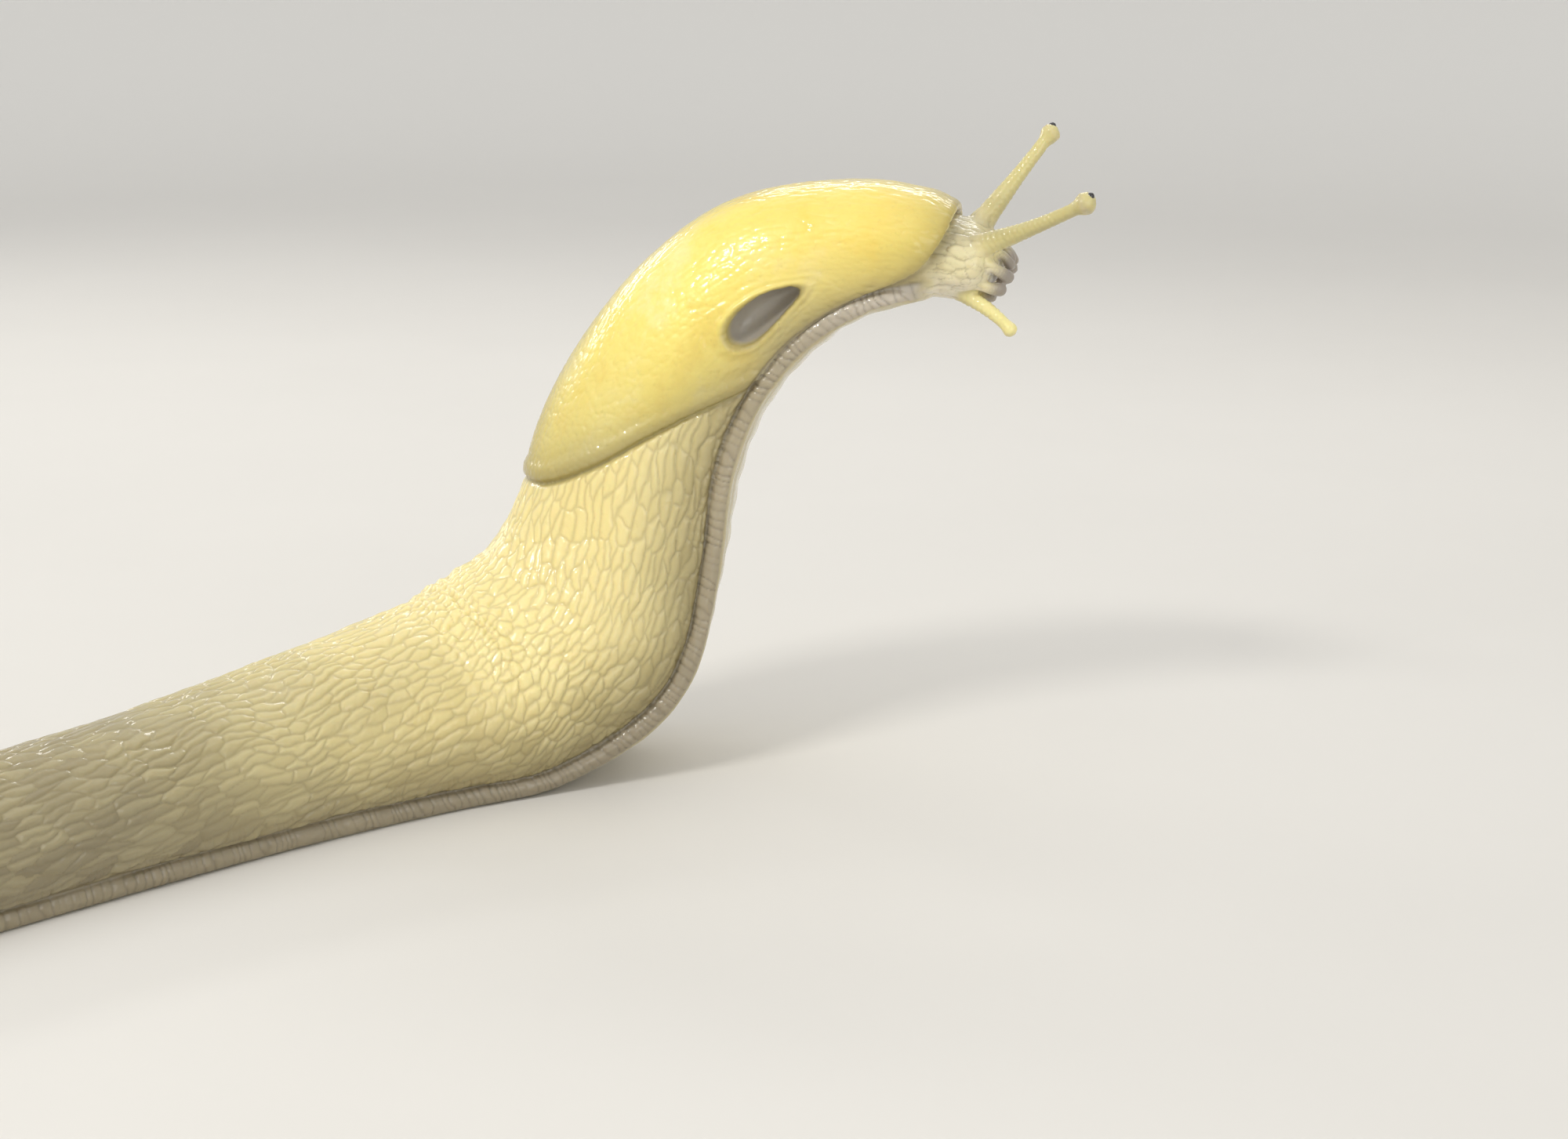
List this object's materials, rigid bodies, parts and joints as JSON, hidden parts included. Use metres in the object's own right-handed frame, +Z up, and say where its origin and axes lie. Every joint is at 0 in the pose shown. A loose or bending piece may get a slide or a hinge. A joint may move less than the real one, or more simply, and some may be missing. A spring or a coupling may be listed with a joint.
{
  "type": "banana slug",
  "caption": "Life-size banana slug crawling with its front half reared up and its feelers out, resting on its own flat sole.",
  "frame": {"origin": "on the floor, in the middle of the slug's outline seen from above", "axes": "+X the way the reared head faces, +Y to the slug's left there, +Z up"},
  "size_m": [0.1525, 0.1019, 0.072],
  "materials": {
    "body_skin": "moist yellow skin with long low tubercles",
    "mantle_skin": "moist brighter yellow skin, finely grained",
    "foot_skin": "moist grey-olive fringe and pale sole",
    "head_skin": "moist pale olive-yellow skin",
    "lip_skin": "moist grey skin",
    "eye": "glossy black"
  },
  "bodies": {
    "root": {"tail": "body_skin", "trunk_rear": "body_skin", "trunk_mid": "body_skin", "trunk_rise": "body_skin", "neck": "body_skin", "mantle": "mantle_skin", "foot_tail": "foot_skin", "foot_mid": "foot_skin", "foot_rise": "foot_skin", "foot_front": "foot_skin", "head": "head_skin", "lips": "lip_skin", "upper_tentacle_right": "head_skin", "upper_tentacle_left": "head_skin", "lower_tentacle_right": "head_skin", "lower_tentacle_left": "head_skin", "eye_right": "eye", "eye_left": "eye"}
  },
  "joints": []
}
